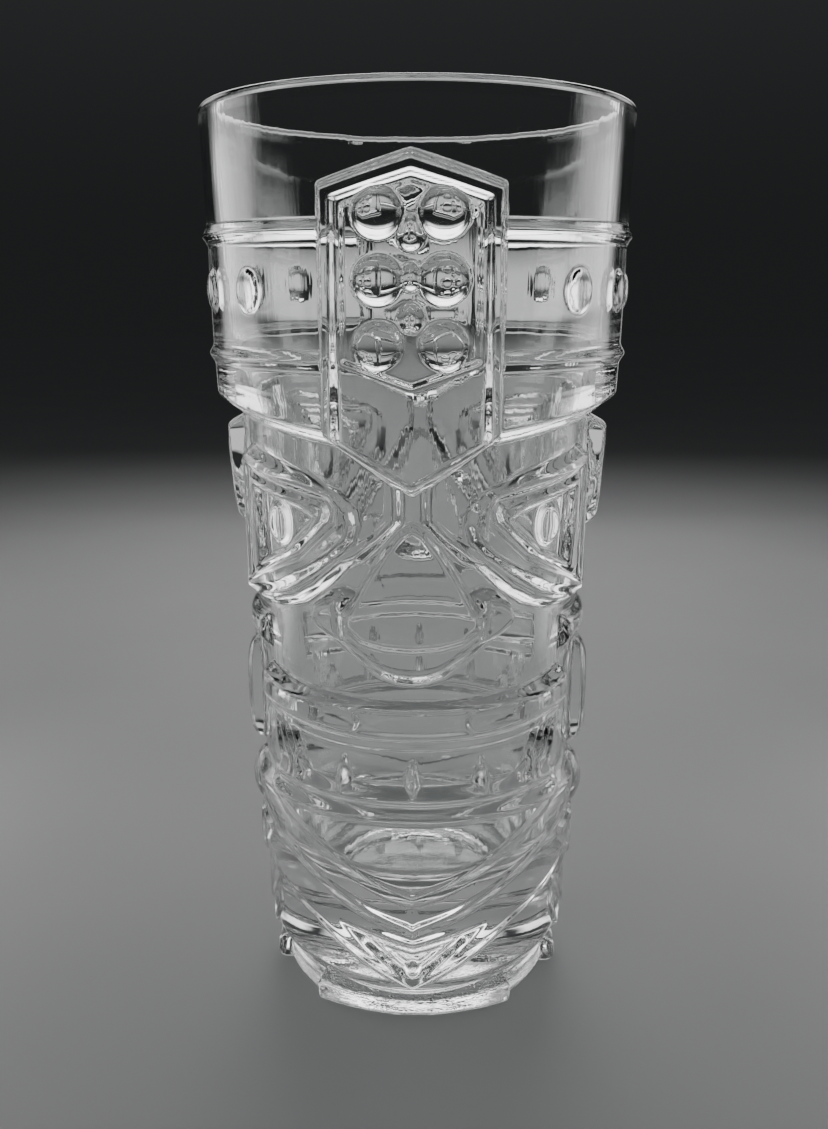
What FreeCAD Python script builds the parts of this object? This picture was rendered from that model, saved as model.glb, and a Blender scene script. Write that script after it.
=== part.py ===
"""Clear pressed-glass tiki tumbler, one closed piece of glass.

Millimetres, +Z up. The origin is the centre of the foot on the table, and a mask faces -Y
and, the same again, +Y. A revolved vessel carries the wall, the bore and the thick base.
Each relief feature is an outline on the face plane, run through the vessel and kept only
inside a thin ring of glass on the wall, so that it follows the curve of the wall.
"""

import math
import os

import FreeCAD
import Part
import Sketcher

doc = FreeCAD.newDocument("TikiTumbler")
sheet = doc.addObject("Spreadsheet::Sheet", "Dims")

DIMENSIONS = [
    # overall
    ("height", 168.0),
    ("rim_radius", 39.0),
    ("wall", 2.6),
    ("lip_round", 1.15),
    ("floor_z", 27.0),
    ("floor_round", 8.0),
    # wall radii, outside, from the foot up
    ("foot_neck_radius", 26.0),
    ("beard_radius", 29.6),
    ("mouth_radius", 30.8),
    ("cheek_radius", 31.0),
    ("temple_radius", 32.6),
    ("hat_radius", 37.5),
    ("bore_face_radius", 28.4),
    ("bore_floor_radius", 27.0),
    # heights of the wall stations
    ("foot_top", 6.6),
    ("beard_low", 9.5),
    ("mouth_z", 46.0),
    ("cheek_z", 72.0),
    ("temple_z", 110.0),
    ("hat_under", 115.4),
    ("hat_low", 119.0),
    ("bore_face_z", 110.0),
    ("bore_hat_z", 128.0),
    # rings round the headdress
    ("ring_rise", 0.9),
    ("ring_high", 2.6),
    ("ring_upper_z", 146.2),
    ("ring_lower_z", 125.7),
    # bead row between the rings
    ("bead_z", 136.8),
    ("bead_ball", 6.0),
    ("bead_rise", 1.1),
    ("bead_first", 45.5),
    ("bead_pitch", 22.25),
    # crest on the headdress
    ("crest_half", 14.5),
    ("crest_rib", 2.4),
    ("crest_peak", 157.4),
    ("crest_shoulder", 152.8),
    ("crest_panel_low", 121.8),
    ("crest_panel_side", 125.6),
    ("crest_panel_radius", 39.6),
    ("crest_frame_radius", 40.6),
    ("boss_offset", 4.8),
    ("boss_pitch", 9.9),
    ("boss_top", 148.3),
    ("boss_ball", 4.8),
    ("boss_rise", 1.8),
    ("drop_ball", 2.0),
    ("drop_rise", 0.9),
    ("drop_top", 145.5),
    ("drop_middle", 139.1),
    ("drop_bottom", 132.9),
    # brow, the lower edge of the headdress
    ("brow_half", 30.0),
    ("brow_side_z", 116.6),
    ("brow_knee", 13.6),
    ("brow_knee_z", 114.6),
    ("brow_point", 104.8),
    ("brow_radius", 36.9),
    # eyes
    ("eye_radius", 35.2),
    ("eye_sink_radius", 33.4),
    ("pupil_radius", 34.7),
    # nose
    ("nose_top", 99.3),
    ("nose_tip_radius", 37.8),
    ("nose_tip_z", 80.0),
    ("nose_wing", 17.0),
    ("nose_wing_z", 82.5),
    ("nose_low", 70.0),
    # mouth
    ("lip_radius", 33.4),
    ("lip_top", 66.6),
    ("lip_low", 59.2),
    ("lip_half", 28.0),
    ("chin_radius", 32.9),
    ("chin_top", 49.4),
    ("chin_low", 45.4),
    ("tooth_radius", 32.7),
    ("tooth_half", 1.6),
    ("tooth_low", 49.0),
    ("tooth_top", 55.2),
    ("tooth_inner", 13.2),
    ("tooth_outer", 22.8),
    # beard
    ("beard_plate_radius", 32.5),
    ("beard_plate_low", 26.8),
    ("beard_mid_radius", 31.7),
    ("beard_mid_low", 19.6),
    ("beard_tip_radius", 30.8),
    ("beard_tip_low", 7.6),
    # ears on the two sides
    ("ear_radius", 34.2),
    ("ear_half", 6.0),
    ("ear_low", 49.0),
    ("ear_high", 69.5),
    ("stud_ball", 6.4),
    ("stud_z", 39.6),
    ("stud_rise", 33.9),
    ("temple_plate_radius", 35.6),
    ("temple_plate_half", 14.0),
    ("temple_plate_low", 93.5),
    ("temple_plate_high", 112.0),
    # foot
    ("foot_front", 26.6),
    ("foot_side", 28.8),
    ("foot_bar_half", 18.4),
    ("foot_side_half", 9.0),
    ("foot_bevel", 1.2),
    ("punt_radius", 17.0),
    ("punt_depth", 1.6),
]

for row, (alias, number) in enumerate(DIMENSIONS, start=1):
    sheet.set(f"A{row}", alias)
    sheet.set(f"B{row}", str(number))
    sheet.setAlias(f"B{row}", alias)
doc.recompute()

SIZE = {alias: number for alias, number in DIMENSIONS}
FACE_PLANE = FreeCAD.Rotation(FreeCAD.Vector(1, 0, 0), 90)
SIDE_PLANE = FreeCAD.Rotation(FreeCAD.Vector(1, 1, 1), 120)
TABLE_PLANE = FreeCAD.Rotation()
REACH = 90.0  # an outline runs this far through the vessel, past both walls
SEAM_TURN = 13.5  # degrees; the vessel's own seam line is kept clear of the beads and ears
CAP_SINK = 20.0  # latitude in degrees where a shallow cap is cut off inside the wall


def about(text):
    """The number an outline corner starts at, before the sheet drives it."""
    total, sign = 0.0, 1.0
    for word in text.replace("-", " - ").replace("+", " + ").split():
        if word == "-":
            sign = -1.0
        elif word == "+":
            sign = 1.0
        else:
            total += sign * (SIZE[word] if word in SIZE else float(word))
            sign = 1.0
    return total


def driven(text):
    """The same corner as an expression on the sheet."""
    words = text.replace("-", " - ").replace("+", " + ").split()
    return " ".join(f"Dims.{word}" if word in SIZE else word for word in words)


def outline(name, turn, corners, owner=None):
    """A closed outline whose every corner is bound to the sheet."""
    kind = "Sketcher::SketchObject"
    sketch = owner.newObject(kind, name) if owner else doc.addObject(kind, name)
    sketch.Placement = FreeCAD.Placement(FreeCAD.Vector(), turn)
    points = [FreeCAD.Vector(about(a), about(b), 0) for a, b in corners]
    count = len(points)
    sketch.addGeometry(
        [Part.LineSegment(points[i], points[(i + 1) % count]) for i in range(count)], False
    )
    sketch.addConstraint(
        [Sketcher.Constraint("Coincident", i, 2, (i + 1) % count, 1) for i in range(count)]
    )
    for i, (a, b) in enumerate(corners):
        for axis, text in (("DistanceX", a), ("DistanceY", b)):
            if text == "0":
                on = -2 if axis == "DistanceX" else -1
                sketch.addConstraint(Sketcher.Constraint("PointOnObject", i, 1, on))
                continue
            index = sketch.addConstraint(
                Sketcher.Constraint(axis, -1, 1, i, 1, about(text))
            )
            sketch.setExpression(f"Constraints[{index}]", driven(text))
    return sketch


def through(name, turn, shapes, along):
    """Outlines run through the whole vessel, to both sides alike."""
    runs = []
    for i, corners in enumerate(shapes, start=1):
        solid = doc.addObject("Part::Extrusion", f"{name}Run{i}")
        solid.Base = outline(f"{name}Outline{i}", turn, corners)
        solid.DirMode = "Custom"
        solid.Dir = along
        solid.LengthFwd = REACH
        solid.Symmetric = True
        solid.Solid = True
        runs.append(solid)
    return together(name + "Runs", runs)


def together(name, solids):
    """One compound of solids that do not touch, or the solid itself if it is alone."""
    if len(solids) == 1:
        return solids[0]
    group = doc.addObject("Part::Compound", name)
    group.Links = solids
    return group


def ring_of(name, corners):
    """A ring of glass about the axis, from its cross-section."""
    solid = doc.addObject("Part::Revolution", name + "Ring")
    solid.Source = outline(name + "Section", FACE_PLANE, corners)
    solid.Axis = FreeCAD.Vector(0, 0, 1)
    solid.Base = FreeCAD.Vector()
    solid.Angle = 360
    solid.Solid = True
    return solid


def on_wall(name, turn, shapes, along, section):
    """The part of a ring that lies inside outlines: one relief feature on both masks."""
    common = doc.addObject("Part::Common", name)
    common.Base = ring_of(name, section)
    common.Tool = through(name, turn, shapes, along)
    return common


def flipped(text):
    """The same distance on the other side of the axis."""
    swapped = text.translate(str.maketrans("+-", "-+")).strip()
    return swapped[1:].strip() if swapped.startswith("+") else "-" + swapped


def mirrored(corners):
    """Corners given on +X from top to bottom, closed by the same ones on -X."""
    return corners + [(flipped(a), b) for a, b in reversed(corners) if a != "0"]


def band(low, high, radius, inner="cheek_radius - 1.2"):
    """The cross-section of a plain ring."""
    return [(inner, low), (radius, low), (radius, high), (inner, high)]


def domes(name, places, ball, sink):
    """Ball caps standing out from the axis; each place is its x, y and z and a turn."""
    made = []
    for i, (x, y, z, turn) in enumerate(places, start=1):
        cap = doc.addObject("Part::Sphere", f"{name}Cap{i}")
        away = FreeCAD.Vector(math.sin(math.radians(turn)), -math.cos(math.radians(turn)), 0)
        cap.Placement.Rotation = FreeCAD.Rotation(FreeCAD.Vector(0, 0, 1), away)
        cap.Angle1 = sink
        cap.setExpression("Radius", f"Dims.{ball}")
        cap.setExpression("Placement.Base.x", x)
        cap.setExpression("Placement.Base.y", y)
        cap.setExpression("Placement.Base.z", z)
        made.append(cap)
    return together(name, made)


FRONT = FreeCAD.Vector(0, 1, 0)
SIDEWAYS = FreeCAD.Vector(1, 0, 0)

# ---- vessel: wall, bore and thick base in one revolved solid
body = doc.addObject("PartDesign::Body", "Vessel")
body.Placement.Rotation = FreeCAD.Rotation(FreeCAD.Vector(0, 0, 1), SEAM_TURN)
profile = outline(
    "VesselSection",
    FACE_PLANE,
    [
        ("0", "0"),
        ("foot_neck_radius", "0"),
        ("foot_neck_radius", "foot_top"),
        ("beard_radius", "beard_low"),
        ("mouth_radius", "mouth_z"),
        ("cheek_radius", "cheek_z"),
        ("temple_radius", "temple_z"),
        ("temple_radius + 0.4", "hat_under"),
        ("hat_radius - 1.2", "hat_under + 1.4"),
        ("hat_radius", "hat_low"),
        ("rim_radius", "height"),
        ("rim_radius - wall", "height"),
        ("hat_radius - wall", "bore_hat_z"),
        ("bore_face_radius + 1.2", "bore_face_z"),
        ("bore_face_radius", "cheek_z"),
        ("bore_floor_radius", "floor_z"),
        ("0", "floor_z"),
    ],
    owner=body,
)
turned = body.newObject("PartDesign::Revolution", "VesselTurn")
turned.Profile = profile
turned.ReferenceAxis = (profile, ["V_Axis"])
turned.Angle = 360
doc.recompute()


def circles_at(shape, z, radii):
    """Names of the round edges of a shape at one height and one of the radii."""
    names = []
    for i, edge in enumerate(shape.Edges, start=1):
        if not isinstance(edge.Curve, Part.Circle):
            continue
        level = abs(edge.Curve.Center.z - z) < 1e-4
        if level and any(abs(edge.Curve.Radius - r) < 1e-4 for r in radii):
            names.append(f"Edge{i}")
    return names


rim = [SIZE["rim_radius"], SIZE["rim_radius"] - SIZE["wall"]]
lip = body.newObject("PartDesign::Fillet", "LipRound")
lip.Base = (turned, circles_at(turned.Shape, SIZE["height"], rim))
lip.setExpression("Radius", "Dims.lip_round")
doc.recompute()
corner = body.newObject("PartDesign::Fillet", "FloorRound")
corner.Base = (lip, circles_at(lip.Shape, SIZE["floor_z"], [SIZE["bore_floor_radius"]]))
corner.setExpression("Radius", "Dims.floor_round")

features = [body]

hat_inner = "hat_radius - 1.1"

# ---- two rings round the headdress, bevelled above and below
for name, level in (("UpperBand", "ring_upper_z"), ("LowerBand", "ring_lower_z")):
    top = "rim_radius" if name == "UpperBand" else "hat_radius + 0.4"
    features.append(
        ring_of(
            name,
            [
                (f"{top} - 1.8", f"{level} - ring_high + 0.8"),
                (f"{top} - 0.6", f"{level} - ring_high + 1.2"),
                (f"{top} + ring_rise - 0.5", f"{level} - 0.5"),
                (f"{top} + ring_rise - 0.5", f"{level} + 0.5"),
                (f"{top} - 0.6", f"{level} + ring_high - 1.2"),
                (f"{top} - 1.8", f"{level} + ring_high - 0.8"),
            ],
        )
    )

# ---- bead row between the rings: five beads on each side, none under the crest
places = []
for side in (1, -1):
    for step in range(5):
        turn = f"(Dims.bead_first + {step} * Dims.bead_pitch) * 1 deg"
        out = "(Dims.hat_radius + 0.6 + Dims.bead_rise - Dims.bead_ball)"
        places.append(
            (
                f"{side} * {out} * sin({turn}) * 1 mm",
                f"-{out} * cos({turn}) * 1 mm",
                "Dims.bead_z * 1 mm",
                side * (SIZE["bead_first"] + step * SIZE["bead_pitch"]),
            )
        )
features.append(domes("BeadRow", places, "bead_ball", CAP_SINK * 2))

# ---- crest: a gabled panel, its raised frame, and a lower field under the panel
crest = mirrored(
    [
        ("0", "crest_peak"),
        ("crest_half", "crest_shoulder"),
        ("crest_half", "brow_knee_z - 0.8"),
    ]
)
features.append(
    on_wall("CrestPanel", FACE_PLANE, [crest], FRONT,
            band("brow_knee_z - 2", "crest_peak + 1", "crest_panel_radius", hat_inner))
)
window = mirrored(
    [
        ("0", "crest_peak - crest_rib - 0.3"),
        ("crest_half - crest_rib", "crest_shoulder - crest_rib + 0.6"),
        ("crest_half - crest_rib", "crest_panel_side"),
        ("0", "crest_panel_low"),
    ]
)
frame_full = on_wall("CrestFrameBlank", FACE_PLANE, [crest], FRONT,
                     band("brow_knee_z - 2", "crest_peak + 1", "crest_frame_radius", hat_inner))
frame = doc.addObject("Part::Cut", "CrestFrame")
frame.Base = frame_full
frame.Tool = through("CrestWindow", FACE_PLANE, [window], FRONT)
features.append(frame)

# ---- six round bosses in two columns and three drops between them, on both masks
places = []
for face in (-1, 1):
    for column in (-1, 1):
        for step in range(3):
            places.append(
                (
                    f"{column} * Dims.boss_offset * 1 mm",
                    f"{face} * (Dims.crest_panel_radius + Dims.boss_rise - Dims.boss_ball) * 1 mm",
                    f"(Dims.boss_top - {step} * Dims.boss_pitch) * 1 mm",
                    90 + 90 * face,
                )
            )
features.append(domes("Bosses", places, "boss_ball", CAP_SINK))
places = []
for face in (-1, 1):
    for drop in ("drop_top", "drop_middle", "drop_bottom"):
        places.append(
            (
                "0 mm",
                f"{face} * (Dims.crest_panel_radius + Dims.drop_rise - Dims.drop_ball) * 1 mm",
                f"Dims.{drop} * 1 mm",
                90 + 90 * face,
            )
        )
features.append(domes("Drops", places, "drop_ball", 0))

# ---- brow: the headdress comes down to a point over the nose
features.append(
    on_wall(
        "Brow", FACE_PLANE,
        [
            mirrored(
                [
                    ("brow_half", "hat_low"),
                    ("brow_half", "brow_side_z"),
                    ("brow_knee", "brow_knee_z"),
                    ("0", "brow_point"),
                ]
            )
        ],
        FRONT,
        [
            ("temple_radius - 2", "brow_point - 1"),
            ("brow_radius", "brow_point - 1"),
            ("brow_radius", "hat_low - 0.6"),
            ("temple_radius - 0.1", "hat_low - 0.6"),
        ],
    )
)

# ---- eyes: a raised three-cornered frame, a sunk field, a deeper well and an oval pupil
EYE = [("29.5", "110.4"), ("17.6", "107"), ("11.6", "104"), ("8.8", "99.3"), ("10.8", "94.2"),
       ("16.6", "89.3"), ("22.2", "85.4"), ("29.5", "82.6")]
SINK = [("28.6", "105.6"), ("13.8", "102.6"), ("13.6", "99.8"), ("19", "93.4"), ("28.6", "85.8")]
WELL = [("25.6", "102.2"), ("15.6", "100"), ("19.8", "94.2"), ("25.6", "91.4")]
PUPIL = [("25.3", "97.6"), ("24.6", "101"), ("23.2", "101.8"), ("21.8", "100.6"), ("21", "97.8"),
         ("21.8", "94.8"), ("23.2", "93.6"), ("24.6", "94.4")]


def both_eyes(corners):
    """Corners of the eye on +X, and of the one on -X."""
    return [corners, [("-" + a, b) for a, b in corners]]


def eye_layer(name, corners, radius, opening):
    """One layer of both eyes, opened where the next layer down shows."""
    layer = doc.addObject("Part::Cut", name)
    layer.Base = on_wall(name + "Blank", FACE_PLANE, both_eyes(corners), FRONT,
                         band("82", "111", radius))
    layer.Tool = through(name + "Opening", FACE_PLANE, both_eyes(opening), FRONT)
    return layer


features.append(eye_layer("EyeRims", EYE, "eye_radius", SINK))
features.append(eye_layer("EyeFields", SINK, "eye_sink_radius", WELL))
features.append(on_wall("Pupils", FACE_PLANE, both_eyes(PUPIL), FRONT,
                        band("92", "103", "pupil_radius")))

# ---- nose: narrow bridge, broad wings, leaning out to a tip and cut back under it
features.append(
    on_wall(
        "Nose", FACE_PLANE,
        [
            mirrored(
                [
                    ("0", "nose_top"),
                    ("2.6", "nose_top - 1.4"),
                    ("9.6", "nose_wing_z + 4.4"),
                    ("14.6", "nose_wing_z + 3.6"),
                    ("nose_wing", "nose_wing_z"),
                    ("nose_wing - 0.4", "nose_wing_z - 2.8"),
                    ("9.8", "nose_low + 5.6"),
                    ("7", "nose_low + 2.6"),
                    ("0", "nose_low"),
                ]
            )
        ],
        FRONT,
        [
            ("cheek_radius - 1.2", "nose_top + 1"),
            ("eye_radius - 1.4", "nose_top + 1"),
            ("nose_tip_radius", "nose_tip_z"),
            ("nose_tip_radius - 0.3", "nose_tip_z - 2.4"),
            ("lip_radius - 1", "nose_low - 0.4"),
            ("cheek_radius - 1.2", "nose_low - 0.4"),
        ],
    )
)

# ---- mouth: upper lip, lower lip and five pointed teeth between them
LIP_ENDS = [("lip_half", "lip_low - 14.4"), ("lip_half", "lip_top + 1.4")]
features.append(
    on_wall(
        "UpperLip", FACE_PLANE, [mirrored(LIP_ENDS)], FRONT,
        [
            ("cheek_radius - 1.2", "lip_low - 2.4"),
            ("lip_radius - 1.8", "lip_low - 2.4"),
            ("lip_radius - 0.4", "lip_low"),
            ("lip_radius", "lip_low + 1.6"),
            ("lip_radius", "lip_top - 1.8"),
            ("lip_radius - 1", "lip_top"),
            ("cheek_radius - 1.2", "lip_top"),
        ],
    )
)
features.append(
    on_wall(
        "LowerLip", FACE_PLANE, [mirrored(LIP_ENDS)], FRONT,
        [
            ("cheek_radius - 1.2", "chin_low"),
            ("chin_radius", "chin_low"),
            ("chin_radius", "chin_top - 0.8"),
            ("chin_radius - 0.8", "chin_top"),
            ("cheek_radius - 1.2", "chin_top"),
        ],
    )
)


def tooth(middle):
    """A narrow pointed tooth standing about its middle."""
    left = flipped("tooth_half") if middle == "0" else middle + " - tooth_half"
    right = "tooth_half" if middle == "0" else middle + " + tooth_half"
    return [
        (left, "tooth_low"),
        (right, "tooth_low"),
        (right, "tooth_top - 2.4"),
        (middle, "tooth_top"),
        (left, "tooth_top - 2.4"),
    ]


MIDDLES = ["-tooth_outer", "-tooth_inner", "0", "tooth_inner", "tooth_outer"]
features.append(
    on_wall("Teeth", FACE_PLANE, [tooth(middle) for middle in MIDDLES], FRONT,
            band("tooth_low - 1", "tooth_top + 1", "tooth_radius"))
)

# ---- beard: three layers, each coming to a lower point over the one below
features.append(
    on_wall(
        "BeardPlate", FACE_PLANE,
        [
            mirrored(
                [("28.4", "chin_low + 0.4"), ("28.2", "39.6"), ("17.6", "34.4"),
                 ("0", "beard_plate_low")]
            )
        ],
        FRONT,
        band("beard_plate_low - 1", "chin_low + 0.6", "beard_plate_radius"),
    )
)
features.append(
    on_wall(
        "BeardMiddle", FACE_PLANE,
        [
            mirrored(
                [("0", "37"), ("28.6", "42"), ("29.4", "32"), ("16", "25.4"), ("0", "beard_mid_low")]
            )
        ],
        FRONT,
        band("beard_mid_low - 1", "43", "beard_mid_radius", "beard_radius - 1"),
    )
)
features.append(
    on_wall(
        "BeardTip", FACE_PLANE,
        [
            mirrored(
                [("0", "30"), ("28.6", "33"), ("28.8", "25"), ("15.8", "16"), ("0", "beard_tip_low")]
            )
        ],
        FRONT,
        band("beard_tip_low - 0.6", "34", "beard_tip_radius", "beard_radius - 4"),
    )
)

# ---- sides: temple plate, hanging ear and round stud under it
features.append(
    on_wall(
        "Temples", SIDE_PLANE,
        [
            mirrored([("temple_plate_half", "temple_plate_high"),
                      ("temple_plate_half", "temple_plate_low + 5"),
                      ("temple_plate_half - 6", "temple_plate_low")])
        ],
        SIDEWAYS,
        band("temple_plate_low - 1", "temple_plate_high + 1", "temple_plate_radius",
             "temple_radius - 1.4"),
    )
)
features.append(
    on_wall(
        "Ears", SIDE_PLANE,
        [
            mirrored([("ear_half - 2.6", "ear_high"), ("ear_half", "ear_high - 4"),
                      ("ear_half", "ear_low + 4"), ("ear_half - 2.6", "ear_low")])
        ],
        SIDEWAYS,
        band("ear_low - 1", "ear_high + 1", "ear_radius"),
    )
)
places = [
    (f"{side} * (Dims.stud_rise - Dims.stud_ball) * 1 mm", "0 mm", "Dims.stud_z * 1 mm", 90 * side)
    for side in (-1, 1)
]
features.append(domes("Studs", places, "stud_ball", CAP_SINK / 2))

# ---- foot: eight-sided, broad bars front and back, edges bevelled, hollowed underneath
foot_corners = [
    ("foot_bar_half", "foot_front"), ("foot_side", "foot_side_half"),
    ("foot_side", "-foot_side_half"), ("foot_bar_half", "-foot_front"),
    ("-foot_bar_half", "-foot_front"), ("-foot_side", "-foot_side_half"),
    ("-foot_side", "foot_side_half"), ("-foot_bar_half", "foot_front"),
]
foot_blank = doc.addObject("Part::Extrusion", "FootBlank")
foot_blank.Base = outline("FootOutline", TABLE_PLANE, foot_corners)
foot_blank.DirMode = "Custom"
foot_blank.Dir = FreeCAD.Vector(0, 0, 1)
foot_blank.setExpression("LengthFwd", "Dims.foot_top + 0.6")
foot_blank.Solid = True
doc.recompute()
flat_edges = [
    (i, SIZE["foot_bevel"], SIZE["foot_bevel"])
    for i, edge in enumerate(foot_blank.Shape.Edges, start=1)
    if edge.BoundBox.ZLength < 1e-6
]
foot = doc.addObject("Part::Chamfer", "Foot")
foot.Base = foot_blank
foot.Edges = flat_edges
features.append(foot)

# ---- one piece of glass
glass = features[0]
for feature in features[1:]:
    joined = doc.addObject("Part::Fuse", f"With{feature.Label}")
    joined.Base = glass
    joined.Tool = feature
    glass = joined
hollow = doc.addObject("Part::Revolution", "PuntHollow")
hollow.Source = outline(
    "PuntSection", FACE_PLANE,
    [("0", "-1"), ("punt_radius + 1.2", "-1"), ("punt_radius", "punt_depth - 0.6"),
     ("punt_radius - 3", "punt_depth"), ("0", "punt_depth")],
)
hollow.Axis = FreeCAD.Vector(0, 0, 1)
hollow.Angle = 360
hollow.Solid = True
bored = doc.addObject("Part::Cut", "glass_tumbler")
bored.Label = "glass_tumbler"
bored.Base = glass
bored.Tool = hollow
doc.recompute()

for item in doc.Objects:
    if any(word in ("Invalid", "Error") for word in item.State):
        raise SystemExit(f"{item.Label} did not recompute")
for item in [bored] + features:
    if item.Shape.isNull() or not item.Shape.isValid():
        raise SystemExit(f"{item.Label} has no sound shape")
if len(bored.Shape.Solids) != 1:
    raise SystemExit(f"the glass is {len(bored.Shape.Solids)} solids, not one")

os.makedirs("parts", exist_ok=True)
bored.Shape.exportStep("parts/glass_tumbler.step")
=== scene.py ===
"""The looks of a clear pressed-glass tiki tumbler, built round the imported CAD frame.

The whole glass is one closed mesh. Its outside is a radius for every angle and height: a
plain wall, with the mask worked into it as plates, ridges and domes. One quarter of the
outside is shaped and then repeated, because the glass is alike left and right, and front
and back. Shapes are given in design millimetres and scaled to the frame's real box.

In the features, `turn` is the angle from the middle of the mask in radians, `z` the height,
`s` the distance round the wall from the middle of the mask, and `t` the same from the side.
"""

import math

import bpy
import numpy as np
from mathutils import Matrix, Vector


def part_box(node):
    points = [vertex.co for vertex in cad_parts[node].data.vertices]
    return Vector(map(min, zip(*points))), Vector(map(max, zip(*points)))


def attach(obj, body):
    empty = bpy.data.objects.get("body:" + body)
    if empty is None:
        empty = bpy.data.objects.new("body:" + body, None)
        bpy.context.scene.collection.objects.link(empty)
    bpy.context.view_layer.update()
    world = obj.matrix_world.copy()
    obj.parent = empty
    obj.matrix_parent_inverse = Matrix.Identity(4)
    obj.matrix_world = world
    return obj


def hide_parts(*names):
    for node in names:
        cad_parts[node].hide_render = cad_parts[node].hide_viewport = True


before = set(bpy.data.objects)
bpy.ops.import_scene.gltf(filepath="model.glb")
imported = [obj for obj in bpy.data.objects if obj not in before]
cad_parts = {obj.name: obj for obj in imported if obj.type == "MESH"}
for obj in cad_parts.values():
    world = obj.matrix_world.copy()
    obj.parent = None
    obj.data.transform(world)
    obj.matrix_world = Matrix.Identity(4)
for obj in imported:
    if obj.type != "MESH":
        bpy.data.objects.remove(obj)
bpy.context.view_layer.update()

NODE = "glass_tumbler"
low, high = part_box(NODE)
HEIGHT = high[2] - low[2]
DESIGN_HEIGHT = 168.0
MM = HEIGHT / DESIGN_HEIGHT

# ------------------------------------------------------------------ driving sizes, in mm
RIM_RADIUS = 39.0
WALL = 2.6
LIP_ROUND = WALL / 2
OUTSIDE_TOP = DESIGN_HEIGHT - LIP_ROUND
BOTTOM_Z = 27.0  # height of the drink space's bottom, at its edge
BOTTOM_ROUND = 8.0  # fillet round the drink space's bottom
BOTTOM_RISE = 0.7  # how much higher the bottom is in its middle
FOOT_TOP = 5.4
BEARING_RADIUS = 18.6  # where the flat ring under the foot ends
HOLLOW_DEPTH = 1.76  # hollow under the foot, at its middle
FACE_ARC = 33.0  # radius the face's outlines are wrapped round
HAT_ARC = 38.5  # radius the headdress's outlines are wrapped round
SIDE = math.pi / 2  # angle of the side of the glass, from the middle of the mask

QUARTER = 190  # columns in a quarter turn
ROWS = 600  # rows up the outside
SOFTEN = 0.23  # how far the fire polish rounds an edge

CREST_FRAME = 40.3  # radius of the crest's raised frame
CREST_PANEL = 39.4  # radius of the panel the bosses stand on
BEAD_TURNS = (45.5, 67.75, 90.0)  # degrees round from the middle of the mask

# Heights and radii of the plain wall outside and of the bore
OUTSIDE = [(0, 27.4), (5.6, 27.0), (9.6, 29.6), (30, 30.3), (46, 30.7), (72, 31.0), (110, 32.0),
           (118, 32.6)]
HAT = [(100, 37.2), (119, 37.5), (128, 37.9), (146, 38.3), (DESIGN_HEIGHT, RIM_RADIUS)]
BORE = [(BOTTOM_Z, 27.0), (72, 28.4), (108, 29.7), (128, 34.7), (146, 35.6),
        (DESIGN_HEIGHT, RIM_RADIUS - WALL)]


# ------------------------------------------------------------------ shaping tools
def stations(table, z):
    """A radius at each height, read along straight runs between stations."""
    return np.interp(z, [row[0] for row in table], [row[1] for row in table])


def wrapped(points, radius):
    """An outline given across the face, laid round a wall of that radius."""
    return [(radius * math.asin(max(-1.0, min(1.0, x / radius))), z) for x, z in points]


def inside(points, s, z):
    """Distance in from the nearest edge of a closed outline; negative outside it."""
    near = np.full(s.shape, 1e9)
    within = np.zeros(s.shape, bool)
    for (ax, az), (bx, bz) in zip(points, points[1:] + points[:1]):
        ex, ez = bx - ax, bz - az
        px, pz = s - ax, z - az
        along = np.clip((px * ex + pz * ez) / (ex * ex + ez * ez), 0, 1)
        near = np.minimum(near, np.hypot(px - along * ex, pz - along * ez))
        if bz != az:
            crosses = (az > z) != (bz > z)
            within ^= crosses & (s < ax + (z - az) * ex / ez)
    return np.where(within, near, -near)


def across_middle(points, radius, s, z):
    """Distance in from an outline across the mask's middle; only its right half is given."""
    half = wrapped(points, radius)
    mirror = [(-a, b) for a, b in reversed(half) if a > 0]
    return inside(half + mirror, s, z)


def beside_middle(points, s, z):
    """Distance in from a closed outline that lies to one side of the mask's middle."""
    return inside(wrapped(points, FACE_ARC), s, z)


def oval(s, z, centre, half_wide, half_high):
    """Height of a unit dome over an oval."""
    u = ((s - centre[0]) / half_wide) ** 2 + ((z - centre[1]) / half_high) ** 2
    return np.sqrt(np.clip(1 - u, 0, 1))


def eased(distance, width, rounded=False):
    """How far a step has risen, over a bevel of that width."""
    share = np.clip(distance / width, 0, 1)
    return np.sqrt(1 - (1 - share) ** 2) if rounded else share


def plate(wall, distance, level, bevel, rounded=False):
    """Raises the wall to a level inside an outline."""
    lifted = wall + (level - wall) * eased(distance, bevel, rounded)
    return np.where(distance > 0, np.maximum(wall, lifted), wall)


def sunk(wall, distance, level, bevel, rounded=False):
    """Sinks the wall to a level inside an outline."""
    lowered = wall + (level - wall) * eased(distance, bevel, rounded)
    return np.where(distance > 0, np.minimum(wall, lowered), wall)


def domed(wall, dome, base, rise):
    """Raises the wall into a dome; the dome is 0 outside its outline."""
    return np.where(dome > 0, np.maximum(wall, base + rise * dome), wall)


def ridge_along(wall, distance, inset, half_width, rise):
    """A fine ridge that runs beside an outline, a little way in from it."""
    return wall + rise * bump(distance - inset, half_width) * (distance > 0)


def groove(distance, half_width, depth):
    """A soft round groove along a line, as the depth to take off the wall."""
    return depth * np.exp(-((distance / half_width) ** 2))


def bump(distance, half_width):
    """A unit ridge with a round top along a line."""
    return np.clip(1 - (distance / half_width) ** 2, 0, 1)


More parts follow.
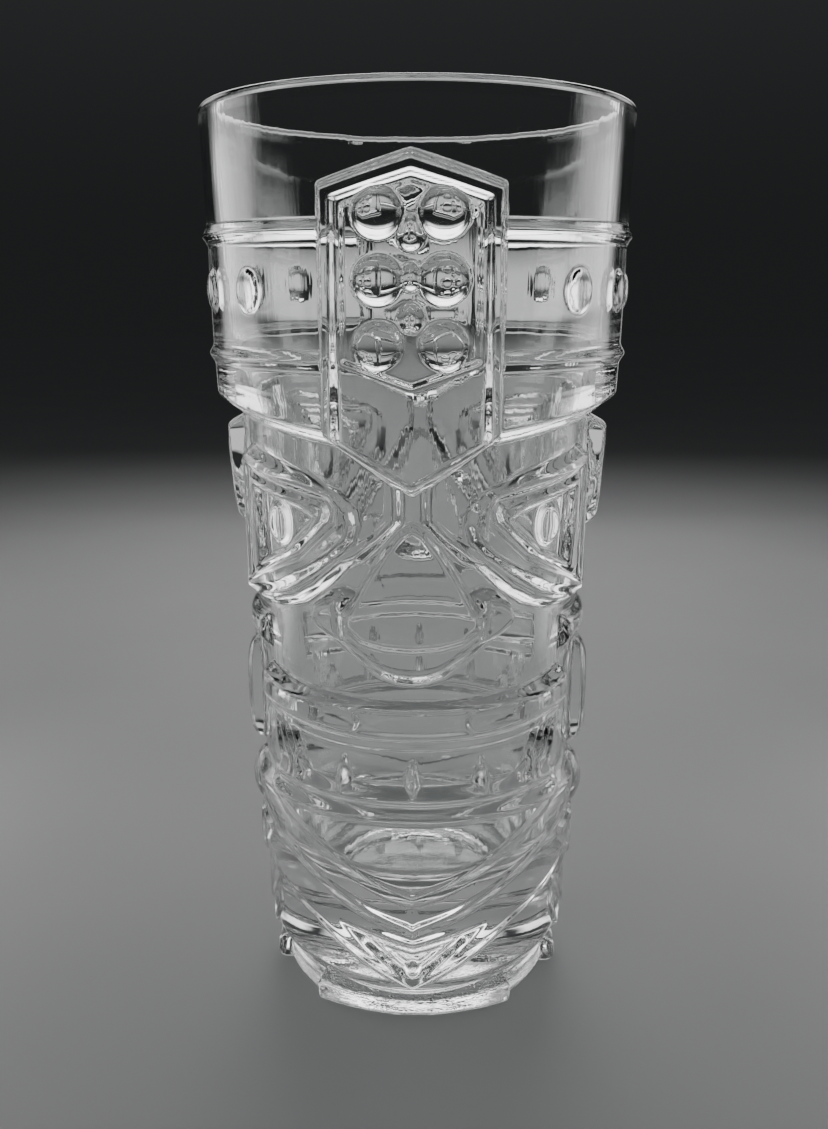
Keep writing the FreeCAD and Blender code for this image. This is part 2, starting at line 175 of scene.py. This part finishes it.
def softened(wall, step_s, step_z, sigma):
    """The wall with its edges rounded; each end of a row meets its own mirror image."""
    for axis, step in ((0, step_z), (1, step_s)):
        reach = int(math.ceil(3 * sigma / step))
        offsets = np.arange(-reach, reach + 1)
        weights = np.exp(-0.5 * (offsets * step / sigma) ** 2)
        weights /= weights.sum()
        pad = [(0, 0), (0, 0)]
        pad[axis] = (reach, reach)
        padded = np.pad(wall, pad, mode="reflect" if axis else "edge")
        count = wall.shape[axis]
        wall = sum(
            w * np.take(padded, range(i, i + count), axis=axis) for i, w in enumerate(weights)
        )
    return wall


# ------------------------------------------------------------------ the glass, bottom to top
def foot(wall, turn, z):
    """A low foot: broad bars front and back and narrower ones at the sides."""
    front_out, front_swell, front_end = 27.3, 2.0, 41
    side_out, side_limit, side_start = 29.0, 29.8, 74
    neck, between = 26.4, 27.2
    rounding, over = 1.5, 1.3
    x, y = np.sin(turn), np.cos(turn)
    degrees = np.degrees(turn)
    front_bar = np.where(degrees < front_end, front_out / np.maximum(y, 0.1), 0)
    front_bar = np.minimum(front_bar, front_out + front_swell * (degrees / front_end) ** 2)
    side_bar = np.minimum(side_out / np.maximum(x, 0.1), side_limit)
    side_bar = np.where(degrees > side_start, side_bar, 0)
    reach = np.maximum(np.maximum(front_bar, side_bar), between)
    top = FOOT_TOP - 0.5 * np.abs(degrees - 45) / 45
    below = np.clip((rounding - z) / rounding, 0, 1)
    above = np.clip((z - top + rounding) / rounding, 0, 1.6)
    shape = reach - rounding * (1 - np.sqrt(1 - below**2)) - over * above**2
    return np.where(z < FOOT_TOP + 1.2, np.maximum(shape, neck), wall)


def beard(wall, s, z):
    """Three layers, each coming to a point over the next, with a keel and a small stud."""
    tip = across_middle([(0, 7.4), (10, 12.6), (20, 19.0), (32.4, 27.5), (32.8, 40), (0, 40)],
                        FACE_ARC, s, z)
    field = across_middle([(0, 10.0), (15.2, 22.0), (8.4, 20.6), (0, 18.4)], FACE_ARC, s, z)
    middle = across_middle([(0, 19.8), (9, 23.2), (16.5, 27.2), (25.5, 33.0), (31.5, 39.0),
                            (32.6, 46), (0, 46)], FACE_ARC, s, z)
    chin = across_middle([(0, 26.8), (5.6, 28.9), (11, 31.6), (18.2, 35.8), (23.4, 39.4),
                          (28.0, 44.0), (29.2, 47.5), (0, 47.5)], FACE_ARC, s, z)
    wall = plate(wall, tip, level=31.3, bevel=1.5)
    wall = ridge_along(wall, tip, inset=1.7, half_width=0.7, rise=0.35)
    wall = sunk(wall, field, level=30.0, bevel=1.3)
    wall = ridge_along(wall, field, inset=1.9, half_width=0.55, rise=0.45)
    wall = ridge_along(wall, field, inset=3.2, half_width=0.45, rise=0.45)
    stud = oval(s, z, centre=(0, 12.9), half_wide=1.5, half_high=1.5)
    wall = domed(wall, stud, base=30.2, rise=1.0)
    wall = plate(wall, middle, level=32.4, bevel=1.9)
    wall = ridge_along(wall, middle, inset=2.6, half_width=0.8, rise=0.3)
    keel_low, keel_top, fade, keel_half = 20.2, 27.5, 1.5, 0.9
    keel_length = np.clip((keel_top - z) / fade, 0, 1) * np.clip((z - keel_low) / fade, 0, 1)
    wall = wall + 0.5 * np.clip(1 - s / keel_half, 0, 1) * keel_length
    wall = plate(wall, chin, level=33.5, bevel=2.3)
    wall = ridge_along(wall, chin, inset=2.8, half_width=0.6, rise=0.35)
    return wall


def side_scales(wall, turn, z):
    """Layered scales under the stud on the side of the glass, pointing down."""
    t = FACE_ARC * (SIDE - turn)
    half_wide, top = 15.5, 34
    for tip_z, level, rise in ((3.6, 30.3, 12.5), (9.8, 31.0, 13.0), (21.5, 32.1, 11.0)):
        edge = z - (tip_z + rise * (t / 15.0) ** 1.5)
        scale = np.minimum(edge, half_wide - t)
        scale = np.where(z > top, -1.0, scale)
        wall = plate(wall, scale, level, bevel=1.5, rounded=True)
    return wall


def teeth(wall, s, z):
    """Thin pointed teeth on the band: one in the middle and two each side of it."""
    foot_z, root_z = 50.5, 51.7
    for middle, tall in ((0.0, 3.4), (13.9, 3.2), (25.2, 3.0)):
        taper = 1 - 0.6 * np.clip((z - foot_z) / tall, 0, 1)
        half = 1.6 * taper * np.sqrt(np.clip(1 - ((z - root_z) / tall) ** 2, 0, 1))
        crown = np.clip(1 - np.abs(s - middle) / np.maximum(half, 0.05), 0, 1) * (half > 0.1)
        wall = domed(wall, crown**0.7, base=30.3, rise=2.4)
    return wall


def mouth(wall, s, z):
    """Smiling upper lip, five thin teeth on a sunk band, and the lower lip."""
    half_wide, middle_z = 35.2, 63
    bend = 1.5 * np.clip(s / 30, 0, 1.2) ** 3  # how far the smile lifts its ends
    in_reach = half_wide - s - 0.04 * np.abs(z - middle_z) ** 1.6
    band = np.minimum(np.minimum(z - 48.8, 58.5 - z), in_reach)
    wall = sunk(wall, band, level=30.3, bevel=1.0)
    for outer in (0.0, 2.3, 4.6):
        fold = s - (31.6 - outer - 5.2 * np.clip((58 - z) / 9, 0, 1) ** 1.5)
        fold = np.where((z > 49) & (z < 59), fold, 9.0)
        wall = wall + 1.2 * bump(fold, half_width=0.95)
    lower = np.minimum(np.minimum(z - 45.4, 50.2 + 0.3 * bend - z), in_reach)
    wall = plate(wall, lower, level=32.6, bevel=2.0)
    line_z, line_end = 46.9, 31
    line = np.where(s < line_end, z - line_z, 9)
    wall = wall - groove(line, half_width=0.5, depth=0.55)
    wall = teeth(wall, s, z)
    step = np.minimum(np.minimum(z - 56.9 - bend, 62.0 - z), in_reach)
    wall = plate(wall, step, level=31.9, bevel=1.0)
    upper = np.minimum(np.minimum(z - 59.6 - bend, 66.7 + bend - z), in_reach)
    wall = plate(wall, upper, level=33.7, bevel=2.4, rounded=True)
    facet_end = 10.2 + 0.35 * np.abs(z - 63.2) ** 1.5
    facet = np.minimum(np.minimum(z - 60.6, 65.8 - z), facet_end - s)
    wall = sunk(wall, facet, level=32.9, bevel=0.9)
    return wall


def mask(wall, s, z):
    """The plate that carries an eye, parted from its mirror image by a narrow channel."""
    cheek = beside_middle([(1.6, 98.8), (4.6, 95.6), (8.8, 91.9), (11.2, 90.8), (15.8, 86.2),
                           (20, 83.2), (24, 81.6), (29, 80.8), (32.4, 81.2), (32.4, 118),
                           (2.2, 118), (1.5, 103)], s, z)
    level = 33.7 - 0.9 * np.clip((s - 30) / 10, 0, 1)
    wall = plate(wall, cheek, level, bevel=1.3)
    wall = ridge_along(wall, cheek, inset=1.9, half_width=0.6, rise=0.25)
    return wall


def eye(wall, s, z):
    """A raised three-cornered surround, a frame inside it, a sunk field and an oval pupil."""
    surround = beside_middle([(29.8, 109.8), (28, 110.2), (17.6, 107.0), (11.8, 104.0),
                              (9.2, 101.6), (8.6, 99.0), (9.4, 95.8), (12.4, 92.6), (16.6, 89.4),
                              (22.2, 85.6), (28.1, 82.8), (29.6, 82.4)], s, z)
    dish = beside_middle([(28.9, 107.2), (13.2, 103.6), (11.9, 101.6), (12.0, 98.6), (18.2, 92.0),
                          (28.9, 85.0)], s, z)
    rim = beside_middle([(28.3, 105.6), (13.9, 102.4), (13.3, 100.8), (13.9, 98.9), (19.4, 93.0),
                         (27.2, 86.9), (28.2, 88)], s, z)
    field = beside_middle([(27.3, 103.6), (18.6, 101.4), (15.4, 99.4), (17.3, 96.6), (21.2, 92.6),
                           (26.3, 89.0)], s, z)
    wall = plate(wall, surround, level=35.2, bevel=1.5)
    wall = sunk(wall, dish, level=34.1, bevel=1.0)
    wall = plate(wall, rim, level=35.0, bevel=0.9)
    wall = sunk(wall, field, level=32.9, bevel=1.2)
    [(pupil_s, pupil_z)] = wrapped([(23.4, 97.5)], FACE_ARC)
    pupil = oval(s, z, (pupil_s, pupil_z), half_wide=3.1, half_high=4.4)
    wall = domed(wall, pupil, base=32.6, rise=2.3)
    dimple = oval(s, z, (pupil_s - 0.7, pupil_z - 0.3), half_wide=1.5, half_high=2.9)
    return wall - 0.9 * dimple


def nose(wall, s, z):
    """A bridge that widens and leans out, a wing each side, and a stepped smiling underside."""
    shape = across_middle([(0, 99.2), (2.4, 97.8), (5.0, 94.6), (7.4, 90.8), (9.8, 86.6),
                           (12.2, 87.0), (14.6, 86.5), (16.6, 85.0), (17.3, 82.4), (16.8, 79.9),
                           (14.4, 77.6), (11.8, 75.5), (9.3, 73.6), (6.0, 71.2), (3.0, 70.2),
                           (0, 69.9)], FACE_ARC, s, z)
    wing = beside_middle([(10.2, 86.4), (12.2, 87.0), (14.6, 86.5), (16.6, 85.0), (17.3, 82.4),
                          (16.4, 80.3), (13.8, 78.6), (11.0, 78.2), (10.9, 80.6), (11.2, 83.6)],
                         s, z)
    front = across_middle([(0, 99.2), (2.4, 97.8), (5.0, 94.6), (7.4, 90.8), (9.6, 86.6),
                           (10.9, 83.6), (10.6, 80.6), (8.2, 78.5), (4.4, 77.5), (0, 77.2)],
                          FACE_ARC, s, z)
    top_z, lean_length = 99.5, 20
    lean = 33.4 + 3.3 * np.clip((top_z - z) / lean_length, 0, 1)
    wall = plate(wall, shape, np.minimum(lean - 0.5, 35.2), bevel=3.0)
    wall = ridge_along(wall, shape, inset=3.0, half_width=0.5, rise=0.3)
    wall = plate(wall, wing, level=36.3, bevel=2.4, rounded=True)
    wall = plate(wall, front, lean, bevel=1.1)
    return wall


def ears(wall, turn, z):
    """Leaf-shaped temple, a roll under it, a long hanging lobe and a round stud."""
    t = FACE_ARC * (SIDE - turn)
    leaf = inside([(-11, 112.5), (-10, 114.5), (10, 114.5), (11, 112.5), (10.5, 107), (8, 99),
                   (3.5, 92.4), (0, 91.2), (-3.5, 92.4), (-8, 99), (-10.5, 107)], t, z)
    leaning = np.interp(z, [91, 95, 101, 109, 114], [33.9, 34.9, 35.4, 36.0, 35.9])
    wall = plate(wall, leaf, leaning, bevel=2.0)
    rib = inside([(-4, 111), (4, 111), (5.5, 106), (1, 95), (-1, 95), (-5.5, 106)], t, z)
    wall = sunk(wall, rib, leaning - 0.8, bevel=1.0)
    roll_z, roll_half_high, roll_half_wide = 75.2, 3.2, 17.5
    roll = np.minimum(roll_half_high - np.abs(z - roll_z), roll_half_wide - t)
    wall = plate(wall, roll, level=33.0, bevel=3.0, rounded=True)
    lobe = 1 - np.abs(t / 6.6) ** 3 - np.abs((z - 58.9) / 11.2) ** 4
    wall = domed(wall, np.clip(lobe, 0, 1) ** 0.4, base=30.6, rise=3.8)
    hollow = 1 - np.abs(t / 3.4) ** 2.5 - np.abs((z - 59.4) / 7.6) ** 4
    wall = wall - 1.1 * np.clip(hollow * 2, 0, 1)
    stud = oval(t, z, centre=(0, 39.4), half_wide=6.9, half_high=6.6)
    wall = domed(wall, stud, base=29.6, rise=4.4)
    return wall


def brow_bevel(turn, z):
    """How far the headdress has risen over its bevelled lower edge, a point over the nose."""
    s = HAT_ARC * turn
    stops = [0, 14.4, 34, 46, 62]
    foot_line = np.interp(s, stops, [103.8, 112.2, 114.4, 114.8, 114.8])
    top_line = np.interp(s, stops, [106.4, 114.7, 117.2, 118.6, 118.6])
    return np.clip((z - foot_line) / (top_line - foot_line), 0, 1)


def headdress(wall, turn, z):
    """Drum-shaped headdress: bevelled under, two rings and a row of beads between them."""
    drum = stations(HAT, z)
    risen = brow_bevel(turn, z)
    wall = np.maximum(wall, wall + (drum - wall) * risen)
    edge_bead = np.clip(1 - np.abs(risen - 0.78) / 0.2, 0, 1)
    wall = wall + 0.45 * edge_bead
    band_rise = 0.35
    for ring_z, rise in ((146.1, 0.95), (125.7, 0.9)):
        away = np.abs(z - ring_z)
        wall = wall + band_rise * np.clip((1.6 - away) / 0.5, 0, 1)
        wall = wall + (rise - band_rise) * bump(away, half_width=0.8)
    for degrees in BEAD_TURNS:
        centre = (HAT_ARC * math.radians(degrees), 136.8)
        bead = oval(HAT_ARC * turn, z, centre, half_wide=3.3, half_high=3.6)
        wall = domed(wall, bead, drum, rise=1.15)
    return wall


def crest(wall, turn, z):
    """A gabled plate with a raised frame, six round bosses and three drops."""
    s = HAT_ARC * turn
    house = across_middle([(0, 157.4), (14.5, 152.8), (14.7, 100), (0, 100)], HAT_ARC, s, z)
    window = across_middle([(0, 154.3), (11.9, 150.6), (12.1, 100), (0, 100)], HAT_ARC, s, z)
    panel = across_middle([(0, 153.4), (11.0, 149.9), (11.2, 125.8), (0, 121.8)], HAT_ARC, s, z)
    risen = brow_bevel(turn, z)
    lifted = np.minimum(eased(house, width=1.0), risen)
    wall = np.maximum(wall, wall + (CREST_FRAME - wall) * lifted)
    opened = np.minimum(window, 4 * (risen - 0.9))
    wall = sunk(wall, opened, stations(HAT, z) + 0.3, bevel=1.2, rounded=True)
    wall = plate(wall, panel, CREST_PANEL, bevel=0.9)
    boss_side, top_boss, boss_step, boss_radius = 5.0, 148.3, 9.9, 3.65
    for row in range(3):
        boss = oval(s, z, (boss_side, top_boss - boss_step * row), boss_radius, boss_radius)
        wall = domed(wall, boss, CREST_PANEL, rise=1.9)
    for middle, wide, tall in ((145.4, 1.7, 2.6), (138.9, 1.2, 2.0), (132.9, 1.7, 2.1)):
        narrowing = 1 - 0.28 * np.clip((z - middle) / tall, -1, 1)
        drop = oval(s / narrowing, z, (0, middle), wide, tall)
        wall = domed(wall, drop, CREST_PANEL, rise=0.95)
    return wall


def outside_wall():
    """Radius of one quarter of the outside, with the height of each row."""
    turn, z = np.meshgrid(np.linspace(0, SIDE, QUARTER + 1), np.linspace(0, OUTSIDE_TOP, ROWS))
    s = FACE_ARC * turn
    wall = stations(OUTSIDE, z)
    wall = foot(wall, turn, z)
    wall = side_scales(wall, turn, z)
    wall = beard(wall, s, z)
    wall = mouth(wall, s, z)
    wall = mask(wall, s, z)
    wall = ears(wall, turn, z)
    wall = eye(wall, s, z)
    wall = nose(wall, s, z)
    wall = headdress(wall, turn, z)
    wall = crest(wall, turn, z)
    step_s = FACE_ARC * SIDE / QUARTER
    step_z = OUTSIDE_TOP / (ROWS - 1)
    return softened(wall, step_s, step_z, SOFTEN), z[:, 0]


def bore_rows():
    """Radius and height of each row of the smooth inside, from the lip down to the bottom."""
    rows = []
    for a in np.linspace(0, math.pi, 15)[1:-1]:
        rows.append((RIM_RADIUS - LIP_ROUND + LIP_ROUND * math.cos(a),
                     OUTSIDE_TOP + LIP_ROUND * math.sin(a)))
    blend = 7  # the runs of the bore flow into each other over this height, each way
    heights = np.linspace(OUTSIDE_TOP, BOTTOM_Z + BOTTOM_ROUND, 90)
    blurred = np.mean([stations(BORE, heights + d) for d in np.linspace(-blend, blend, 15)], axis=0)
    share = np.clip((OUTSIDE_TOP - heights) / blend, 0, 1)
    radii = stations(BORE, heights) * (1 - share) + blurred * share
    rows += list(zip(radii, heights))
    corner = radii[-1] - BOTTOM_ROUND
    for a in np.linspace(0, math.pi / 2, 14)[1:]:
        rows.append((corner + BOTTOM_ROUND * math.cos(a),
                     BOTTOM_Z + BOTTOM_ROUND * (1 - math.sin(a))))
    for share in (0.8, 0.6, 0.4, 0.2, 0.07):
        rows.append((corner * share, BOTTOM_Z + BOTTOM_RISE * (1 - share**2)))
    return rows


def base_rows(edge):
    """Radius and height of each row under the foot, from its edge in to the hollow."""
    rows = []
    for share in (0.25, 0.5, 0.75):  # the flat ring the glass stands on
        rows.append((edge * (1 - share) + BEARING_RADIUS * share, 0.0))
    hollow = ((18.0, 0.05), (17.2, 0.5), (16.2, 1.1), (14.6, 1.4), (11, 1.6), (7, 1.7), (3, 1.75),
              (1, HOLLOW_DEPTH))
    for radius, height in hollow:
        rows.append((np.full_like(edge, radius), height))
    return rows


def glass_points(columns):
    """Every ring of points, from the hollow under the foot out, up, over the lip and down."""
    quarter, heights = outside_wall()
    place = np.arange(columns)
    folded = np.abs((place + QUARTER * 2) % columns - QUARTER * 2)
    folded = np.where(folded > QUARTER, 2 * QUARTER - folded, folded)
    full = quarter[:, folded]
    rows = base_rows(full[0])[::-1] + list(zip(full, heights)) + bore_rows()
    turn = place * SIDE / QUARTER
    across, out = np.sin(turn), -np.cos(turn)
    return [
        np.stack([radius * across, radius * out, np.full(columns, height)], 1)
        for radius, height in rows
    ]


def glass_mesh():
    """The closed glass: the rings joined in turn, and a fan in the middle of each end."""
    columns = 4 * QUARTER
    rings = glass_points(columns)
    middles = [[[0, 0, HOLLOW_DEPTH]], [[0, 0, BOTTOM_Z + BOTTOM_RISE]]]
    points = np.concatenate(rings + middles) * MM
    count = len(rings)
    place = np.arange(columns)
    ring, column = np.meshgrid(np.arange(count - 1), place, indexing="ij")
    following = (column + 1) % columns
    quads = np.stack(
        [ring * columns + column, ring * columns + following,
         (ring + 1) * columns + following, (ring + 1) * columns + column], -1
    ).reshape(-1, 4)
    under = count * columns
    bottom = under + 1
    following = (place + 1) % columns
    last = (count - 1) * columns
    fans = np.concatenate(
        [np.stack([np.full(columns, under), following, place], 1),
         np.stack([np.full(columns, bottom), last + place, last + following], 1)]
    )
    mesh = bpy.data.meshes.new("tiki_glass")
    mesh.vertices.add(len(points))
    mesh.vertices.foreach_set("co", points.astype(np.float32).ravel())
    loops = np.concatenate([quads.ravel(), fans.ravel()]).astype(np.int32)
    sizes = np.concatenate([np.full(len(quads), 4), np.full(len(fans), 3)])
    starts = np.concatenate([[0], np.cumsum(sizes)[:-1]]).astype(np.int32)
    mesh.loops.add(len(loops))
    mesh.loops.foreach_set("vertex_index", loops)
    mesh.polygons.add(len(sizes))
    mesh.polygons.foreach_set("loop_start", starts)
    mesh.polygons.foreach_set("use_smooth", np.ones(len(sizes), bool))
    mesh.update(calc_edges=True)
    mesh.validate()
    return mesh


# ------------------------------------------------------------------ materials
def node_material(name):
    """An empty node material, with its tree."""
    material = bpy.data.materials.new(name)
    material.use_nodes = True
    tree = material.node_tree
    tree.nodes.clear()
    return material, tree


def clear_glass():
    """Clear pressed glass: faint waves and mould drag in the surface, a little bloom."""
    material, tree = node_material("clear_glass")
    nodes, link = tree.nodes, tree.links.new
    output = nodes.new("ShaderNodeOutputMaterial")
    glass = nodes.new("ShaderNodeBsdfPrincipled")
    glass.inputs["Base Color"].default_value = (0.985, 0.995, 0.99, 1)
    glass.inputs["IOR"].default_value = 1.52
    glass.inputs["Transmission Weight"].default_value = 1.0
    place = nodes.new("ShaderNodeTexCoord")

    stretch = nodes.new("ShaderNodeMapping")
    stretch.inputs["Scale"].default_value = (900, 900, 90)
    drag = nodes.new("ShaderNodeTexNoise")
    drag.inputs["Scale"].default_value = 1.0
    drag.inputs["Detail"].default_value = 2.0
    waves = nodes.new("ShaderNodeTexNoise")
    waves.inputs["Scale"].default_value = 120.0
    waves.inputs["Detail"].default_value = 1.0
    link(place.outputs["Object"], stretch.inputs["Vector"])
    link(stretch.outputs["Vector"], drag.inputs["Vector"])
    link(place.outputs["Object"], waves.inputs["Vector"])

    fine = nodes.new("ShaderNodeBump")
    fine.inputs["Strength"].default_value = 0.1
    fine.inputs["Distance"].default_value = 0.0002
    broad = nodes.new("ShaderNodeBump")
    broad.inputs["Strength"].default_value = 0.12
    broad.inputs["Distance"].default_value = 0.0004
    link(drag.outputs["Fac"], fine.inputs["Height"])
    link(waves.outputs["Fac"], broad.inputs["Height"])
    link(fine.outputs["Normal"], broad.inputs["Normal"])
    link(broad.outputs["Normal"], glass.inputs["Normal"])

    bloom = nodes.new("ShaderNodeTexNoise")
    bloom.inputs["Scale"].default_value = 55.0
    bloom.inputs["Detail"].default_value = 4.0
    gloss = nodes.new("ShaderNodeMapRange")
    gloss.inputs["From Min"].default_value = 0.45
    gloss.inputs["From Max"].default_value = 0.85
    gloss.inputs["To Min"].default_value = 0.0
    gloss.inputs["To Max"].default_value = 0.035
    link(place.outputs["Object"], bloom.inputs["Vector"])
    link(bloom.outputs["Fac"], gloss.inputs["Value"])
    link(gloss.outputs["Result"], glass.inputs["Roughness"])

    light_path = nodes.new("ShaderNodeLightPath")
    passing = nodes.new("ShaderNodeBsdfTransparent")
    passing.inputs["Color"].default_value = (0.86, 0.88, 0.87, 1)
    either = nodes.new("ShaderNodeMixShader")
    link(light_path.outputs["Is Shadow Ray"], either.inputs["Fac"])
    link(glass.outputs["BSDF"], either.inputs[1])
    link(passing.outputs["BSDF"], either.inputs[2])
    link(either.outputs["Shader"], output.inputs["Surface"])
    return material


def pale_paper():
    """The floor: matt pale paper with the faintest mottle."""
    material, tree = node_material("pale_paper")
    nodes, link = tree.nodes, tree.links.new
    output = nodes.new("ShaderNodeOutputMaterial")
    paper = nodes.new("ShaderNodeBsdfPrincipled")
    paper.inputs["Roughness"].default_value = 0.55
    mottle = nodes.new("ShaderNodeTexNoise")
    mottle.inputs["Scale"].default_value = 14.0
    tone = nodes.new("ShaderNodeValToRGB")
    tone.color_ramp.elements[0].color = (0.32, 0.32, 0.33, 1)
    tone.color_ramp.elements[1].color = (0.37, 0.37, 0.37, 1)
    place = nodes.new("ShaderNodeTexCoord")
    link(place.outputs["Object"], mottle.inputs["Vector"])
    link(mottle.outputs["Fac"], tone.inputs["Fac"])
    link(tone.outputs["Color"], paper.inputs["Base Color"])
    link(paper.outputs["BSDF"], output.inputs["Surface"])
    return material


# ------------------------------------------------------------------ the glass in the scene
def add_object(name, data):
    """A new object in the scene's main collection."""
    made = bpy.data.objects.new(name, data)
    bpy.context.scene.collection.objects.link(made)
    return made


tumbler = add_object("tiki_glass", glass_mesh())
tumbler.data.materials.append(clear_glass())
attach(tumbler, "root")
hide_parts(NODE)

# ------------------------------------------------------------------ stage
FLOOR_RADIUS = 3.0
FLOOR_GAP = 0.0002  # the foot rests on high spots, so air parts most of it from the floor


def round_floor():
    """A wide flat disc, centred under the glass."""
    sides = 128
    points = [(0, 0, -FLOOR_GAP)]
    for i in range(sides):
        a = 2 * math.pi * i / sides
        points.append((FLOOR_RADIUS * math.cos(a), FLOOR_RADIUS * math.sin(a), -FLOOR_GAP))
    faces = [(0, 1 + i, 1 + (i + 1) % sides) for i in range(sides)]
    mesh = bpy.data.meshes.new("floor")
    mesh.from_pydata(points, [], faces)
    return mesh


floor = add_object("floor", round_floor())
floor.data.materials.append(pale_paper())


def softbox(name, at, toward, wide, tall, glow):
    """A soft rectangular lamp aimed at a point, brightest in the middle and fading out."""
    lamp = bpy.data.lights.new(name, "AREA")
    lamp.shape = "RECTANGLE"
    lamp.size, lamp.size_y = wide, tall
    lamp.energy = glow * math.pi * wide * tall
    lamp.use_nodes = True
    nodes, link = lamp.node_tree.nodes, lamp.node_tree.links.new
    emission = nodes["Emission"]
    place = nodes.new("ShaderNodeNewGeometry")
    apart = nodes.new("ShaderNodeSeparateXYZ")
    link(place.outputs["Parametric"], apart.inputs["Vector"])
    fades = []
    for axis in ("X", "Y"):
        off_middle = nodes.new("ShaderNodeMath")
        off_middle.operation = "PINGPONG"
        off_middle.inputs[1].default_value = 0.5
        link(apart.outputs[axis], off_middle.inputs[0])
        fade = nodes.new("ShaderNodeMapRange")
        fade.interpolation_type = "SMOOTHSTEP"
        fade.inputs["From Max"].default_value = 0.3
        link(off_middle.outputs["Value"], fade.inputs["Value"])
        fades.append(fade)
    both_ways = nodes.new("ShaderNodeMath")
    both_ways.operation = "MULTIPLY"
    link(fades[0].outputs["Result"], both_ways.inputs[0])
    link(fades[1].outputs["Result"], both_ways.inputs[1])
    link(both_ways.outputs["Value"], emission.inputs["Strength"])
    made = add_object(name, lamp)
    made.location = at
    made.rotation_euler = (Vector(toward) - Vector(at)).to_track_quat("-Z", "Y").to_euler()
    made.visible_camera = False


# Windows in front for glints; low cards and boxes behind and beside it, which light its edges
MIDDLE = (0, 0, HEIGHT * 0.5)
softbox("window_left", (-0.26, -0.42, 0.44), MIDDLE, wide=0.09, tall=0.15, glow=16.0)
softbox("window_right", (0.34, -0.36, 0.40), MIDDLE, wide=0.07, tall=0.13, glow=12.0)
softbox("back_box", (0, 0.46, 0.36), (0, 0, 0.02), wide=0.56, tall=0.26, glow=4.2)
softbox("back_strip", (0, 0.46, 0.10), (0, 0, 0.07), wide=0.50, tall=0.12, glow=0.7)
softbox("top_box", (0, 0.05, 0.62), (0, 0, 0), wide=0.30, tall=0.30, glow=0.6)
for side, hand in ((-1, "left"), (1, "right")):
    card_at, card_aim = (side * 0.38, 0.12, 0.135), (0, 0, 0.04)
    softbox("card_" + hand, card_at, card_aim, wide=0.36, tall=0.20, glow=2.8)
    back_at, back_aim = (side * 0.36, 0.32, 0.33), (0, 0, 0.02)
    softbox("back_" + hand, back_at, back_aim, wide=0.30, tall=0.24, glow=2.2)
    near_at, near_aim = (side * 0.17, 0.05, 0.055), (0, 0, 0.05)
    softbox("near_" + hand, near_at, near_aim, wide=0.12, tall=0.11, glow=1.6)


def studio_air():
    """The world: dark at the level of the floor, softly lighter overhead."""
    air = bpy.data.worlds.new("studio")
    air.use_nodes = True
    nodes, link = air.node_tree.nodes, air.node_tree.links.new
    background = nodes["Background"]
    place = nodes.new("ShaderNodeTexCoord")
    apart = nodes.new("ShaderNodeSeparateXYZ")
    rise = nodes.new("ShaderNodeMapRange")
    rise.interpolation_type = "SMOOTHSTEP"
    rise.inputs["From Min"].default_value = 0.02
    rise.inputs["From Max"].default_value = 0.5
    rise.inputs["To Min"].default_value = 0.016
    rise.inputs["To Max"].default_value = 0.04
    link(place.outputs["Generated"], apart.inputs["Vector"])
    link(apart.outputs["Z"], rise.inputs["Value"])
    link(rise.outputs["Result"], background.inputs["Strength"])
    background.inputs["Color"].default_value = (0.93, 0.97, 1.0, 1)
    return air


bpy.context.scene.world = studio_air()

# ------------------------------------------------------------------ camera
PITCH = math.radians(14.25)
TURN = math.radians(1.6)
DISTANCE = 212.3  # level distance from the axis of the glass, in design mm like EYE_LEVEL
EYE_LEVEL = 137.7
SIDESTEP = 0.0006  # metres to the left, because the photo isn't quite centred on the glass
LENS_MM = 35.07
SENSOR_MM = 36.0
camera_data = bpy.data.cameras.new("camera")
camera_data.lens = LENS_MM
camera_data.sensor_width = SENSOR_MM
camera_data.clip_start = 0.005
camera = add_object("camera", camera_data)
across = math.sin(TURN) * DISTANCE * MM - SIDESTEP
back = math.cos(TURN) * DISTANCE * MM
camera.location = (across, -back, EYE_LEVEL * MM)
camera.rotation_euler = (math.pi / 2 - PITCH, 0, TURN)
bpy.context.scene.camera = camera

# ------------------------------------------------------------------ light paths for glass
cycles = bpy.context.scene.cycles
GLASS_BOUNCES = 24
cycles.max_bounces = GLASS_BOUNCES
cycles.transmission_bounces = GLASS_BOUNCES
cycles.transparent_max_bounces = GLASS_BOUNCES
cycles.glossy_bounces = 8
cycles.caustics_reflective = False
cycles.caustics_refractive = False
